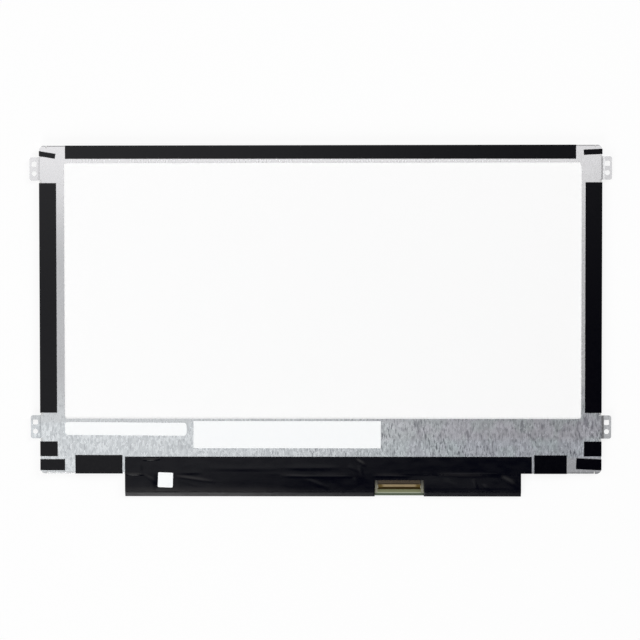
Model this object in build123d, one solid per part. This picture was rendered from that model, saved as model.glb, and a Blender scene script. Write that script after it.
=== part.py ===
from build123d import *
import os

# Slim edge-lit laptop screen panel, lying on its screen face with its back up.
# Millimetres. X runs along the long side, Y towards the top edge, Z out of the back.
# Every "inset" is measured inwards from the outline of the steel rear frame.

# Module outline
MODULE_W = 268.0
MODULE_H = 156.6
CORNER_R = 2.4
BOARD_DROP = 11.1  # from the frame's bottom edge to the fold of the board film

# Thickness of each layer, screen face first
POLARISER_T = 0.2
GLASS_T = 0.5
RIM_TAPE_T = 0.05
PRISM_T = 0.12
DIFFUSER_T = 0.1
GUIDE_T = 0.55
REFLECTOR_T = 0.2
STEEL_T = 0.3
TAPE_T = 0.08
FILM_T = 0.08
LABEL_T = 0.1

# Rear frame: folded walls, bends and the window that shows the reflector
BEND_R = 0.55  # outside radius of every fold
BEND_RUN = 1.2  # strip of the plate that belongs to a fold
WALL_LIFT = 0.45  # walls stop this far behind the front of the glass
LOW_WALL_H = 1.3  # bottom wall, short because the driver films pass below it
WALL_GAP = 1.2  # from a wall's end to the next corner, ear or opening
RELIEF = 0.5  # slit beside each fold
BAND_LEFT = 11.7
BAND_RIGHT = 9.6
BAND_TOP = 8.15
WINDOW_R = 1.2
WINDOW_CUT_W = 0.8  # sloping cut across the window's upper right corner
WINDOW_CUT_H = 1.9

# Screw ears, stepped down from the back plane
EAR_HIGH = 5.4  # inset of the upper ears from the top edge
EAR_LOW = 16.75  # inset of the lower ears from the bottom edge
EAR_H = 11.1
EAR_REACH = 4.75
EAR_DROP = 1.2
EAR_R = 1.1
EAR_HOLLOW = 0.6  # inside radius of the fold at the ear's root
EAR_HOLE_X = 2.55  # hole centres, outwards from the frame's side
SCREW_HOLE_R = 1.2
SCREW_HOLE_DROP = 7.75  # below the ear's upper end
PEG_HOLE = 2.4
PEG_HOLE_R = 0.5
PEG_HOLE_DROP = 3.35

# Mould frame: white plastic ring that carries the screen and the light guide
FIT = 0.05
SIDE_BAR = 2.6
TOP_BAR = 2.0
LOW_BAR = 2.8
CELL_GAP = 0.15
SNAP_W = 5.0
SNAP_H = 0.6
SNAP_FIT = 0.15
SNAP_SPACING = 40.0

# Screen: glass, polarisers and the tape rim below them
CELL_SIDE = 2.3
CELL_TOP = 1.7
TFT_LOW = 3.0
DRIVER_LEDGE = 3.4  # strip of the rear glass left bare for the driver films
POLARISER_INSET = 0.9
RIM_W = 2.4
RIM_LOW_W = 5.0

# Backlight
GUIDE_GAP = 0.2
SHEET_GAP = 0.3
FLEX_W = 3.9
FLEX_T = 0.12
FLEX_LAP = 0.6  # the light bar's flex over the guide's edge
LED_W = 3.0
LED_D = 0.8
LED_H = 0.5
LED_LENS_W = 2.2
LED_LENS_H = 0.3
LED_LENS_D = 0.2
LED_PITCH = 9.2
LED_END = 6.0  # from the flex's end to the first diode's centre
TAIL_W = 9.0  # tongue of the flex that reaches the board
TAIL_OUT = 0.6
TAIL_SLOPE = 1.3
TAIL_FOOT = 1.7
TAIL_BEND = 0.24
TAIL_FROM_SOCKET = 42.0

# Driver films between the glass and the board
DRIVER_T = 0.05
DRIVER_W = 38.0
DRIVER_COUNT = 3
DRIVER_LAP = 1.5
CHIP_L = 22.0
CHIP_D = 1.3
CHIP_T = 0.45

# Control board and its film
BOARD_T = 0.6
BOARD_GAP = 0.5  # below the frame's bottom edge
BOARD_R = 0.6
FILM_SPARE = 0.45  # film past the board's lower edge
FILM_SIDE = 0.3  # film past the board's ends
FILM_LAP = 8.1  # film on the frame
FILM_TAB = 5.05
FILM_EDGE = 0.2
FILM_SLOPE = 8.0
FILM_HEM = 1.8
FILM_RISE = 1.12  # above the board's back
FILM_BEND = 0.25
FILM_SAG_R = 0.6
FILM_FRONT_GAP = 0.3  # to the front glass

# Chips and passive parts on the board, below the film
TIMING_CHIP = 7.0
TIMING_T = 0.85
POWER_CHIP = 4.0
POWER_T = 0.75
TIMING_FROM_SOCKET = -32.0
POWER_FROM_SOCKET = -62.0
BACKLIGHT_FROM_SOCKET = 24.0
COIL = 4.0
COIL_T = 1.0
COIL_CORNER = 0.8
COIL_OFFSET = 6.5
CAPACITOR_L = 1.6
CAPACITOR_W = 0.8
CAPACITOR_T = 0.7
CAPACITOR_SPACING = 3.2
RESISTOR_L = 1.0
RESISTOR_W = 0.5
RESISTOR_T = 0.35
RESISTOR_PITCH = 1.0
PASSIVE_GAP = 1.4  # between a chip's side and the part beside it

# Forty-way cable socket at the board's lower edge
SOCKET_FROM_RIGHT = 96.25
SOCKET_W = 20.8
SOCKET_D = 2.3
SOCKET_H = 1.05
SOCKET_DROP = 5.2  # its rear face, below the frame's bottom edge
ROOF_D = 1.4  # roof, shorter than the floor below the mouth
MOUTH_W = 20.0
MOUTH_D = 1.8
MOUTH_FLOOR = 0.25
MOUTH_H = 0.55
CONTACT_COUNT = 40
CONTACT_PITCH = 0.5
CONTACT_W = 0.22
CONTACT_T = 0.12
CONTACT_TAIL = 2.0
CONTACT_RAMP = 0.5
CONTACT_RISE = 0.42
CONTACT_REACH = 1.35
CONTACT_FIT = 0.03
TAB_T = 0.12
TAB_D = 1.5
TAB_DROP = 6.25  # middle of the tabs, below the frame's bottom edge
TAB_FOOT = 1.15
TAB_FOOT_L = 6.0
TAB_LIP = 0.35
SOCKET_NOTCH_W = 23.5
SOCKET_NOTCH_DROP = 3.1

# Labels
NARROW_LABEL_W = 58.25
NARROW_LABEL_H = 6.2
NARROW_LABEL_R = 1.5
NARROW_LABEL_TILT = -0.4
NARROW_LABEL_LEFT = 11.9
NARROW_LABEL_DROP = 1.7  # below the window
WIDE_LABEL_W = 89.5
WIDE_LABEL_H = 13.0
LABEL_SPACING = 3.3
LABEL_RISE = 4.05  # wide label above the board film
LABEL_EDGE = 1.05  # wide label to the window
STICKER = 7.15
STICKER_R = 0.5
STICKER_TILT = -2.0
STICKER_DROP = 3.1
STICKER_LEFT = 59.9

# Edge tapes: black, folded round the frame onto the screen's rim
TAPE_GRIP = 0.6  # onto the front glass
TAPE_OVERRUN = 1.0  # past the outline, so that a cut clears the fold
LOW_TAPE_LIP = 2.5
TOP_TAPE_END = 12.4
TOP_TAPE_REACH = 6.45
TOP_TAPE_TILT = -0.08
SIDE_TAPE_GAP = 1.27
LEFT_TAPE_REACH = 8.1
RIGHT_TAPE_REACH = 7.9
UPPER_LEFT_H = 2.4
UPPER_LEFT_REACH = 7.8
UPPER_LEFT_TILT = -9.5
UPPER_LEFT_GAP = 0.45  # to the ear below
UPPER_RIGHT_H = 2.5
UPPER_RIGHT_REACH = 8.8
UPPER_RIGHT_TILT = 2.5
UPPER_RIGHT_GAP = 1.0
CORNER_TAPE_GAP = 1.4
LOWEST_LEFT_RISE = 1.5  # above the bottom edge
LOWEST_LEFT_H = 5.35
LOWEST_LEFT_REACH = 11.8
LOWEST_RIGHT_RISE = 1.7
LOWEST_RIGHT_H = 5.25
LOWEST_RIGHT_REACH = 12.0
LOWEST_RIGHT_TILT = -2.7
LOWER_TAPE_H = 7.1
LOWER_TAPE_REACH = 8.3
BOTTOM_TAPE_REACH = 8.85
BOTTOM_LEFT_INSET = 16.75
BOTTOM_LEFT_W = 22.6
BOTTOM_RIGHT_INSET = 16.45
BOTTOM_RIGHT_W = 15.5
FILM_GAP = 1.15  # between the bottom tapes and the board film

# Heights of the layers above the screen face
Z_FILTER = POLARISER_T
Z_TFT = Z_FILTER + GLASS_T
Z_REAR_POLARISER = Z_TFT + GLASS_T
Z_RIM = Z_REAR_POLARISER + POLARISER_T
Z_OPTICS = Z_RIM + RIM_TAPE_T
Z_LOWER_PRISM = Z_OPTICS + PRISM_T
Z_DIFFUSER = Z_LOWER_PRISM + PRISM_T
Z_GUIDE = Z_DIFFUSER + DIFFUSER_T
Z_REFLECTOR = Z_GUIDE + GUIDE_T
Z_PLATE = Z_REFLECTOR + REFLECTOR_T
Z_BACK = Z_PLATE + STEEL_T
Z_WALL = Z_FILTER + WALL_LIFT
Z_EAR = Z_BACK - EAR_DROP
Z_FLEX = Z_PLATE - FLEX_T
Z_BOARD = Z_TFT + BOARD_T
Z_COVER = Z_BOARD + FILM_RISE
Z_FILM_FRONT = Z_TFT - DRIVER_T

# Insets and places that several pieces share
WALL_IN = STEEL_T + FIT
POCKET_SIDE = WALL_IN + SIDE_BAR
POCKET_TOP = WALL_IN + TOP_BAR
POCKET_LOW = WALL_IN + LOW_BAR
FLEX_LOW = POCKET_LOW + FIT
GUIDE_LOW = FLEX_LOW + FLEX_W - FLEX_LAP
FILTER_LOW = TFT_LOW + DRIVER_LEDGE
BAND_LOW = FILM_LAP + LABEL_RISE + WIDE_LABEL_H + LABEL_EDGE
FILM_LEFT = BOTTOM_LEFT_INSET + BOTTOM_LEFT_W + FILM_GAP
FILM_TAB_RIGHT = BOTTOM_RIGHT_INSET + BOTTOM_RIGHT_W + FILM_GAP
FILM_RIGHT = FILM_TAB_RIGHT + FILM_TAB
FILM_W = MODULE_W - FILM_LEFT - FILM_RIGHT
FILM_X = (FILM_LEFT - FILM_RIGHT) / 2
FILM_FOLD = BOARD_DROP - FILM_T
BOARD_EDGE = FILM_FOLD - FILM_SPARE
BOARD_W = FILM_W - 2 * FILM_SIDE
BOARD_Y = -MODULE_H / 2 - (BOARD_GAP + BOARD_EDGE) / 2
UPPER_EAR_Y = MODULE_H / 2 - EAR_HIGH - EAR_H / 2
LOWER_EAR_Y = EAR_LOW + EAR_H / 2 - MODULE_H / 2
SOCKET_X = MODULE_W / 2 - SOCKET_FROM_RIGHT
TAIL_X = SOCKET_X + TAIL_FROM_SOCKET
THROUGH = Z_BACK + BOARD_DROP  # taller than the whole panel
SHIFT_Y = (BOARD_DROP - TAPE_T) / 2  # puts the origin below the middle of the whole outline

RIGHT, LEFT, TOP, BOTTOM = (1, 0), (-1, 0), (0, 1), (0, -1)


def field(left, right, low, high, radius=0.0):
    """Plan rectangle, given by the inset of each side."""
    width = MODULE_W - left - right
    height = MODULE_H - low - high
    shape = RectangleRounded(width, height, radius) if radius else Rectangle(width, height)
    return Pos((left - right) / 2, (low - high) / 2) * shape


def sheet(outline, z, thickness):
    """Flat piece: a plan outline thickened upwards from height z."""
    return extrude(Pos(0, 0, z) * outline, amount=thickness)


def edge_plane(edge, along):
    """Upright plane on an edge of the outline: its x points outwards and its y points up."""
    x, y = edge
    origin = (x * MODULE_W / 2 + abs(y) * along, y * MODULE_H / 2 + abs(x) * along, 0)
    return Plane(origin=origin, x_dir=(x, y, 0), z_dir=(y, -x, 0))


def folded(points, thickness, radii=None):
    """Section of a sheet folded along a line of points and thickened to the left of that line.

    The radii are the line's own; without them the folds are sharp on both sides.
    """
    corners = [Vector(*point) for point in points]
    ways = [(end - start).normalized() for start, end in zip(corners, corners[1:])]
    lefts = [Vector(-way.Y, way.X) for way in ways]
    pairs = list(zip(lefts, lefts[1:]))
    shifts = [lefts[0]] + [(a + b) / (1 + a.dot(b)) for a, b in pairs] + [lefts[-1]]
    far_side = [corner + shift * thickness for corner, shift in zip(corners, shifts)]
    loop = corners + far_side[::-1]
    if not radii:
        return make_face(Polyline(*loop, close=True))
    turns = [1 if a.cross(b).Z > 0 else -1 for a, b in pairs]
    far_radii = [max(radius - turn * thickness, 0) for radius, turn in zip(radii, turns)]
    return make_face(FilletPolyline(*loop, radius=[0, *radii, 0, 0, *far_radii[::-1], 0], close=True))


def along_edge(section, edge, along, length):
    """A section carried along an edge, centred on one place."""
    return extrude(edge_plane(edge, along) * section, amount=length / 2, both=True)


def span(start, end):
    """Middle and length of a stretch."""
    return (start + end) / 2, end - start


def wall_runs():
    """Each folded wall of the rear frame: edge, middle, length and lowest height."""
    ear_end = EAR_H / 2 + WALL_GAP
    corner = CORNER_R + WALL_GAP
    side_end = MODULE_W / 2 - corner
    tail_end = TAIL_W / 2 + WALL_GAP
    between_ears = span(LOWER_EAR_Y + ear_end, UPPER_EAR_Y - ear_end)
    below_ears = span(corner - MODULE_H / 2, LOWER_EAR_Y - ear_end)
    runs = [(edge, *stretch, Z_WALL) for edge in (LEFT, RIGHT) for stretch in (between_ears, below_ears)]
    runs.append((TOP, *span(-side_end, side_end), Z_WALL))
    low_wall = Z_BACK - LOW_WALL_H
    runs.append((BOTTOM, *span(-side_end, TAIL_X - tail_end), low_wall))
    runs.append((BOTTOM, *span(TAIL_X + tail_end, side_end), low_wall))
    return runs


def snap_places():
    """Edge and middle of each snap between the rear frame's walls and the mould frame."""
    side_middle = (UPPER_EAR_Y + LOWER_EAR_Y) / 2
    places = [(edge, side_middle + k * SNAP_SPACING) for edge in (LEFT, RIGHT) for k in (-1, 0, 1)]
    return places + [(TOP, k * SNAP_SPACING) for k in (-2, -1, 0, 1, 2)]


def screw_ear():
    """Right-hand ear: the plate folds down its side, steps outwards and carries two holes."""
    line = [(EAR_REACH, Z_EAR), (0, Z_EAR), (0, Z_BACK), (-BEND_RUN, Z_BACK)]
    section = folded(line, STEEL_T, [EAR_HOLLOW, BEND_R])
    ear = extrude(Plane.XZ * section, amount=EAR_H / 2, both=True)
    ear = fillet(ear.edges().filter_by(Axis.Z).sort_by(Axis.X)[-2:], EAR_R)
    screw_hole = Pos(EAR_HOLE_X, EAR_H / 2 - SCREW_HOLE_DROP) * Circle(SCREW_HOLE_R)
    peg_hole = Pos(EAR_HOLE_X, EAR_H / 2 - PEG_HOLE_DROP) * RectangleRounded(PEG_HOLE, PEG_HOLE, PEG_HOLE_R)
    return ear - sheet(screw_hole + peg_hole, 0, THROUGH)


def rear_frame():
    """Galvanised sheet with a window, folded walls and four stepped ears, all one piece."""
    outline = field(0, 0, 0, 0, CORNER_R) - field(BAND_LEFT, BAND_RIGHT, BAND_LOW, BAND_TOP, WINDOW_R)
    cut = make_face(Polyline((0, 0), (-WINDOW_CUT_W, 0), (0, -WINDOW_CUT_H), close=True))
    outline += Pos(MODULE_W / 2 - BAND_RIGHT, MODULE_H / 2 - BAND_TOP) * cut
    folds = [(edge, middle, length) for edge, middle, length, _ in wall_runs()]
    folds += [(edge, y, EAR_H) for edge in (LEFT, RIGHT) for y in (UPPER_EAR_Y, LOWER_EAR_Y)]
    frame = sheet(outline, Z_PLATE, STEEL_T)
    strip = Pos(-BEND_RUN / 2, Z_BACK) * Rectangle(BEND_RUN, 2 * STEEL_T)
    for edge, middle, length in folds:
        frame -= along_edge(strip, edge, middle, length + 2 * RELIEF)
    for edge, middle, length, low in wall_runs():
        line = [(0, low), (0, Z_BACK), (-BEND_RUN, Z_BACK)]
        frame += along_edge(folded(line, STEEL_T, [BEND_R]), edge, middle, length)
    for y in (UPPER_EAR_Y, LOWER_EAR_Y):
        ear = Pos(MODULE_W / 2, y) * screw_ear()
        frame += ear
        frame += mirror(ear, about=Plane.YZ)
    window = Pos(0, (Z_WALL + Z_PLATE) / 2) * Rectangle(2 * STEEL_T + FIT, SNAP_H + 2 * SNAP_FIT)
    for edge, along in snap_places():
        frame -= along_edge(window, edge, along, SNAP_W + 2 * SNAP_FIT)
    return frame


def mould_frame():
    """Plastic ring: a ledge under the screen, bars round the light guide and snaps for the walls."""
    z_rim = Z_WALL - FIT
    frame = sheet(field(0, 0, 0, 0, CORNER_R), Z_FILTER, z_rim - Z_FILTER)
    body = sheet(field(WALL_IN, WALL_IN, WALL_IN, WALL_IN, CORNER_R - WALL_IN), z_rim, Z_PLATE - z_rim)
    frame += fillet(body.faces().sort_by(Axis.Z)[-1].edges(), BEND_R - STEEL_T)
    side = CELL_SIDE - CELL_GAP
    cell_pocket = field(side, side, TFT_LOW - CELL_GAP, CELL_TOP - CELL_GAP)
    frame -= sheet(cell_pocket, 0, Z_OPTICS)
    frame -= sheet(field(POCKET_SIDE, POCKET_SIDE, POCKET_LOW, POCKET_TOP), 0, THROUGH)
    passage = field(FILM_LEFT - CELL_GAP, FILM_RIGHT - CELL_GAP, -FIT, MODULE_H - TFT_LOW)
    frame -= sheet(passage, 0, Z_OPTICS)
    tail_slot = Pos(TAIL_X, -MODULE_H / 2) * Rectangle(TAIL_W + 2 * CELL_GAP, 2 * FLEX_LOW)
    frame -= sheet(tail_slot, Z_FLEX - FIT, THROUGH)
    snap = Pos(-WALL_IN, (Z_WALL + Z_PLATE) / 2) * Rectangle(2 * STEEL_T, SNAP_H)
    for edge, along in snap_places():
        frame += along_edge(snap, edge, along, SNAP_W)
    return frame


def light_guide():
    """Clear plate that spreads the light of the diodes at its lower edge."""
    side = POCKET_SIDE + GUIDE_GAP
    return sheet(field(side, side, GUIDE_LOW, POCKET_TOP + GUIDE_GAP), Z_GUIDE, GUIDE_T)


def reflector_sheet():
    """White sheet behind the light guide, seen through the frame's window."""
    side = POCKET_SIDE + GUIDE_GAP
    low = FLEX_LOW + FLEX_W + FIT
    return sheet(field(side, side, low, POCKET_TOP + GUIDE_GAP), Z_REFLECTOR, REFLECTOR_T)


def optical_sheet(z, thickness):
    """One of the thin sheets between the light guide and the screen."""
    side = POCKET_SIDE + SHEET_GAP
    return sheet(field(side, side, GUIDE_LOW, POCKET_TOP + SHEET_GAP), z, thickness)


def light_bar_flex():
    """Flexible strip along the guide's lower edge, with a tongue that bends down to the board."""
    side = POCKET_SIDE + GUIDE_GAP
    strip = sheet(field(side, side, FLEX_LOW, MODULE_H - FLEX_LOW - FLEX_W), Z_FLEX, FLEX_T)
    foot = TAIL_OUT + TAIL_SLOPE
    z_foot = Z_BOARD + FLEX_T
    line = [(foot + TAIL_FOOT, z_foot), (foot, z_foot)]
    line += [(TAIL_OUT, Z_PLATE), (-FLEX_LOW - FLEX_W / 2, Z_PLATE)]
    tongue = folded(line, FLEX_T, [TAIL_BEND, TAIL_BEND])
    return strip + along_edge(tongue, BOTTOM, TAIL_X, TAIL_W)


def light_bar_leds():
    """White diodes on the flex, each with a sunk window that faces the guide."""
    half = MODULE_W / 2 - POCKET_SIDE - GUIDE_GAP - LED_END
    gaps = int(2 * half / LED_PITCH)
    front = GUIDE_LOW - FIT - MODULE_H / 2
    body = Pos(0, front - LED_D / 2, Z_FLEX - LED_H / 2) * Box(LED_W, LED_D, LED_H)
    body -= Pos(0, front, Z_FLEX - LED_H / 2) * Box(LED_LENS_W, 2 * LED_LENS_D, LED_LENS_H)
    return [Pos((k - gaps / 2) * LED_PITCH, 0, 0) * body for k in range(gaps + 1)]


def driver_places():
    """Middles of the driver films along the board."""
    pitch = BOARD_W / DRIVER_COUNT
    return [FILM_X + (k - (DRIVER_COUNT - 1) / 2) * pitch for k in range(DRIVER_COUNT)]


def driver_films():
    """Flexible films bonded to the rear glass's ledge and to the board."""
    low, high = -BOARD_GAP - DRIVER_LAP, TFT_LOW + DRIVER_LAP
    middle, length = span(low, high)
    outline = Pos(0, middle - MODULE_H / 2) * Rectangle(DRIVER_W, length)
    return [Pos(x, 0) * sheet(outline, Z_FILM_FRONT, DRIVER_T) for x in driver_places()]


def driver_chips():
    """Slim bare chip on each driver film, in the gap between the glass and the board."""
    outline = Pos(0, (TFT_LOW - BOARD_GAP) / 2 - MODULE_H / 2) * Rectangle(CHIP_L, CHIP_D)
    return [Pos(x, 0) * sheet(outline, Z_TFT, CHIP_T) for x in driver_places()]


def rim_tape():
    """Ring of double-sided tape between the screen and the mould frame's ledge."""
    inner = field(CELL_SIDE + RIM_W, CELL_SIDE + RIM_W, TFT_LOW + RIM_LOW_W, CELL_TOP + RIM_W)
    return sheet(field(CELL_SIDE, CELL_SIDE, TFT_LOW, CELL_TOP) - inner, Z_RIM, RIM_TAPE_T)


def glass(low, z):
    """One glass plate of the screen."""
    return sheet(field(CELL_SIDE, CELL_SIDE, low, CELL_TOP), z, GLASS_T)


def polariser(z):
    """Film on the outer face of a glass plate."""
    side = CELL_SIDE + POLARISER_INSET
    outline = field(side, side, FILTER_LOW + POLARISER_INSET, CELL_TOP + POLARISER_INSET)
    return sheet(outline, z, POLARISER_T)


def control_board():
    """Long narrow board below the frame's bottom edge."""
    outline = Pos(FILM_X, BOARD_Y) * RectangleRounded(BOARD_W, BOARD_EDGE - BOARD_GAP, BOARD_R)
    return sheet(outline, Z_TFT, BOARD_T)


def on_board(outline, height, x):
    """Part soldered to the board's back at one place along it."""
    return sheet(Pos(x, BOARD_Y) * outline, Z_BOARD, height)


def timing_chip():
    """Chip that drives the rows and columns."""
    return on_board(Rectangle(TIMING_CHIP, TIMING_CHIP), TIMING_T, SOCKET_X + TIMING_FROM_SOCKET)


def power_chip(x):
    """Small supply chip."""
    return on_board(Rectangle(POWER_CHIP, POWER_CHIP), POWER_T, x)


def supply_places():
    """Middles of the two supply chips."""
    return [SOCKET_X + POWER_FROM_SOCKET, SOCKET_X + BACKLIGHT_FROM_SOCKET]


def coils():
    """Choke beside each supply chip."""
    body = chamfer(Rectangle(COIL, COIL).vertices(), COIL_CORNER)
    return [on_board(body, COIL_T, x + COIL_OFFSET) for x in supply_places()]


def capacitors():
    """Capacitors in pairs on the left of each chip."""
    places = [(SOCKET_X + TIMING_FROM_SOCKET, TIMING_CHIP)] + [(x, POWER_CHIP) for x in supply_places()]
    body = Rectangle(CAPACITOR_W, CAPACITOR_L)
    pair = Pos(0, CAPACITOR_SPACING / 2) * body + Pos(0, -CAPACITOR_SPACING / 2) * body
    return [on_board(pair, CAPACITOR_T, x - chip / 2 - PASSIVE_GAP) for x, chip in places]


def resistors():
    """Row of resistors on the right of the timing chip."""
    x = SOCKET_X + TIMING_FROM_SOCKET + TIMING_CHIP / 2 + PASSIVE_GAP
    body = Rectangle(RESISTOR_L, RESISTOR_W)
    return [on_board(Pos(0, k * RESISTOR_PITCH) * body, RESISTOR_T, x) for k in (-2, -1, 0, 1, 2)]


def contact_places():
    """Middles of the socket's contacts, from the socket's middle."""
    return [(k - (CONTACT_COUNT - 1) / 2) * CONTACT_PITCH for k in range(CONTACT_COUNT)]


def socket_housing():
    """Moulded bar: a mouth towards the board's edge, open above its front, and a slot for each contact."""
    body = Pos(SOCKET_DROP + SOCKET_D / 2, Z_BOARD + SOCKET_H / 2) * Rectangle(SOCKET_D, SOCKET_H)
    mouth_z = Z_BOARD + MOUTH_FLOOR + MOUTH_H / 2
    mouth = Pos(SOCKET_DROP + SOCKET_D - MOUTH_D / 2, mouth_z) * Rectangle(MOUTH_D, MOUTH_H)
    front_z = Z_BOARD + MOUTH_FLOOR + SOCKET_H / 2
    mouth += Pos(SOCKET_DROP + ROOF_D + SOCKET_D / 2, front_z) * Rectangle(SOCKET_D, SOCKET_H)
    slot_z = Z_BOARD + CONTACT_RISE + CONTACT_T / 2
    slot = Pos(SOCKET_DROP, slot_z) * Rectangle(SOCKET_D, CONTACT_T + 2 * CONTACT_FIT)
    housing = along_edge(body, BOTTOM, SOCKET_X, SOCKET_W)
    housing -= along_edge(mouth, BOTTOM, SOCKET_X, MOUTH_W)
    slots = [along_edge(slot, BOTTOM, SOCKET_X + x, CONTACT_W + 2 * CONTACT_FIT) for x in contact_places()]
    return housing - slots


def socket_contacts():
    """Bent strips: a tail soldered to the board, a ramp and a blade in the mouth."""
    ramp = SOCKET_DROP - CONTACT_RAMP
    high = Z_BOARD + CONTACT_RISE
    line = [(SOCKET_DROP - CONTACT_TAIL, Z_BOARD), (ramp, Z_BOARD)]
    line += [(ramp + CONTACT_RAMP / 2, high), (SOCKET_DROP + CONTACT_REACH, high)]
    section = folded(line, CONTACT_T)
    return [along_edge(section, BOTTOM, SOCKET_X + x, CONTACT_W) for x in contact_places()]


def socket_tabs():
    """Bent metal tab at each end of the housing: a lip on its roof, an upright and a long soldered foot."""
    end, top = SOCKET_W / 2, Z_BOARD + SOCKET_H
    line = [(end - TAB_LIP, top), (end, top), (end, Z_BOARD), (end + TAB_FOOT, Z_BOARD)]
    tab = extrude(Plane.XZ * folded(line, TAB_T), amount=TAB_D / 2, both=True)
    tab += sheet(Pos(end + TAB_FOOT / 2, 0) * Rectangle(TAB_FOOT, TAB_FOOT_L), Z_BOARD, TAB_T)
    place = Pos(SOCKET_X, -MODULE_H / 2 - TAB_DROP)
    return [place * tab, place * mirror(tab, about=Plane.YZ)]


def film_section(low, high):
    """Section of a layer on the board film's path: down from the frame, over the board, round its edge."""
    hem = FILM_FOLD - FILM_HEM
    line = [(-FILM_LAP, Z_BACK), (FILM_EDGE, Z_BACK), (FILM_EDGE + FILM_SLOPE, Z_COVER), (hem, Z_COVER)]
    line += [(FILM_FOLD, Z_BOARD), (FILM_FOLD, Z_FILM_FRONT), (FILM_FRONT_GAP - FILTER_LOW, Z_FILM_FRONT)]
    radii = [FILM_BEND, FILM_SAG_R, FILM_BEND, FILM_BEND, FILM_BEND]
    section = folded(line, high, radii)
    return section - folded(line, low, radii) if low else section


def board_film():
    """Black film folded round the board and stuck to the frame, with a hole in its fold for the socket."""
    film = along_edge(film_section(0, FILM_T), BOTTOM, FILM_X, FILM_W)
    tab = field(MODULE_W - FILM_RIGHT, FILM_TAB_RIGHT, 0, MODULE_H - FILM_LAP)
    film += sheet(tab, Z_BACK, FILM_T)
    middle = -MODULE_H / 2 - SOCKET_NOTCH_DROP - BOARD_DROP / 2
    hole = Pos(SOCKET_X, middle) * Rectangle(SOCKET_NOTCH_W, BOARD_DROP)
    return film - sheet(hole, 0, THROUGH)


def square_sticker():
    """Small blank sticker pressed onto the board film."""
    x = STICKER_LEFT - MODULE_W / 2
    layer = along_edge(film_section(FILM_T, FILM_T + LABEL_T), BOTTOM, x, 2 * STICKER)
    outline = Rot(0, 0, STICKER_TILT) * RectangleRounded(STICKER, STICKER, STICKER_R)
    return layer & sheet(Pos(x, -MODULE_H / 2 - STICKER_DROP) * outline, Z_BOARD, THROUGH)


def label(outline, left, low, width, height, tilt=0.0):
    """Blank paper label on the frame's lower band, placed by the inset of its left and lower sides."""
    place = Pos(left + width / 2 - MODULE_W / 2, low + height / 2 - MODULE_H / 2)
    return sheet(place * Rot(0, 0, tilt) * outline, Z_BACK, LABEL_T)


def edge_tape(edge, along, width, reach, lip, tilt=0.0):
    """Tape folded round one edge: a strip on the back, a strip down the side and a lip on the front."""
    line = [(-reach - width, Z_BACK), (0, Z_BACK), (0, Z_FILTER), (-lip, Z_FILTER)]
    section = folded(line, TAPE_T, [0, 0])
    band = along_edge(section, edge, along, width + reach)
    x, y = edge
    middle, length = span(-reach, TAPE_OVERRUN)
    outline = Rectangle(length, width) if x else Rectangle(width, length)
    turned = Rot(0, 0, tilt) * Pos(x * middle, y * middle) * outline
    place = Pos(x * MODULE_W / 2 + abs(y) * along, y * MODULE_H / 2 + abs(x) * along)
    return band & sheet(place * turned, 0, THROUGH)


def side_tape(edge, low, height, reach, tilt=0.0):
    """Tape on the left or right edge, its lower side at one height above the bottom edge."""
    return edge_tape(edge, low + height / 2 - MODULE_H / 2, height, reach, CELL_SIDE + TAPE_GRIP, tilt)


def tapes():
    """All the black edge tapes by name."""
    above_ear = MODULE_H - EAR_HIGH
    long_low = EAR_LOW + EAR_H + SIDE_TAPE_GAP
    long_h = MODULE_H - EAR_HIGH - EAR_H - SIDE_TAPE_GAP - long_low
    upper_left = above_ear + UPPER_LEFT_GAP
    upper_right = above_ear + UPPER_RIGHT_GAP
    lower_left = LOWEST_LEFT_RISE + LOWEST_LEFT_H + CORNER_TAPE_GAP
    lower_right = LOWEST_RIGHT_RISE + LOWEST_RIGHT_H + CORNER_TAPE_GAP
    left_x = BOTTOM_LEFT_INSET + BOTTOM_LEFT_W / 2 - MODULE_W / 2
    right_x = MODULE_W / 2 - BOTTOM_RIGHT_INSET - BOTTOM_RIGHT_W / 2
    top_w = MODULE_W - 2 * TOP_TAPE_END
    lowest_right = (LOWEST_RIGHT_H, LOWEST_RIGHT_REACH, LOWEST_RIGHT_TILT)
    return {
        "top_tape": edge_tape(TOP, 0, top_w, TOP_TAPE_REACH, CELL_TOP + TAPE_GRIP, TOP_TAPE_TILT),
        "left_tape": side_tape(LEFT, long_low, long_h, LEFT_TAPE_REACH),
        "right_tape": side_tape(RIGHT, long_low, long_h, RIGHT_TAPE_REACH),
        "upper_left_tape": side_tape(LEFT, upper_left, UPPER_LEFT_H, UPPER_LEFT_REACH, UPPER_LEFT_TILT),
        "upper_right_tape": side_tape(RIGHT, upper_right, UPPER_RIGHT_H, UPPER_RIGHT_REACH, UPPER_RIGHT_TILT),
        "lower_left_tape": side_tape(LEFT, lower_left, LOWER_TAPE_H, LOWER_TAPE_REACH),
        "lower_right_tape": side_tape(RIGHT, lower_right, LOWER_TAPE_H, LOWER_TAPE_REACH),
        "lowest_left_tape": side_tape(LEFT, LOWEST_LEFT_RISE, LOWEST_LEFT_H, LOWEST_LEFT_REACH),
        "lowest_right_tape": side_tape(RIGHT, LOWEST_RIGHT_RISE, *lowest_right),
        "bottom_left_tape": edge_tape(BOTTOM, left_x, BOTTOM_LEFT_W, BOTTOM_TAPE_REACH, LOW_TAPE_LIP),
        "bottom_right_tape": edge_tape(BOTTOM, right_x, BOTTOM_RIGHT_W, BOTTOM_TAPE_REACH, LOW_TAPE_LIP),
    }


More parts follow.
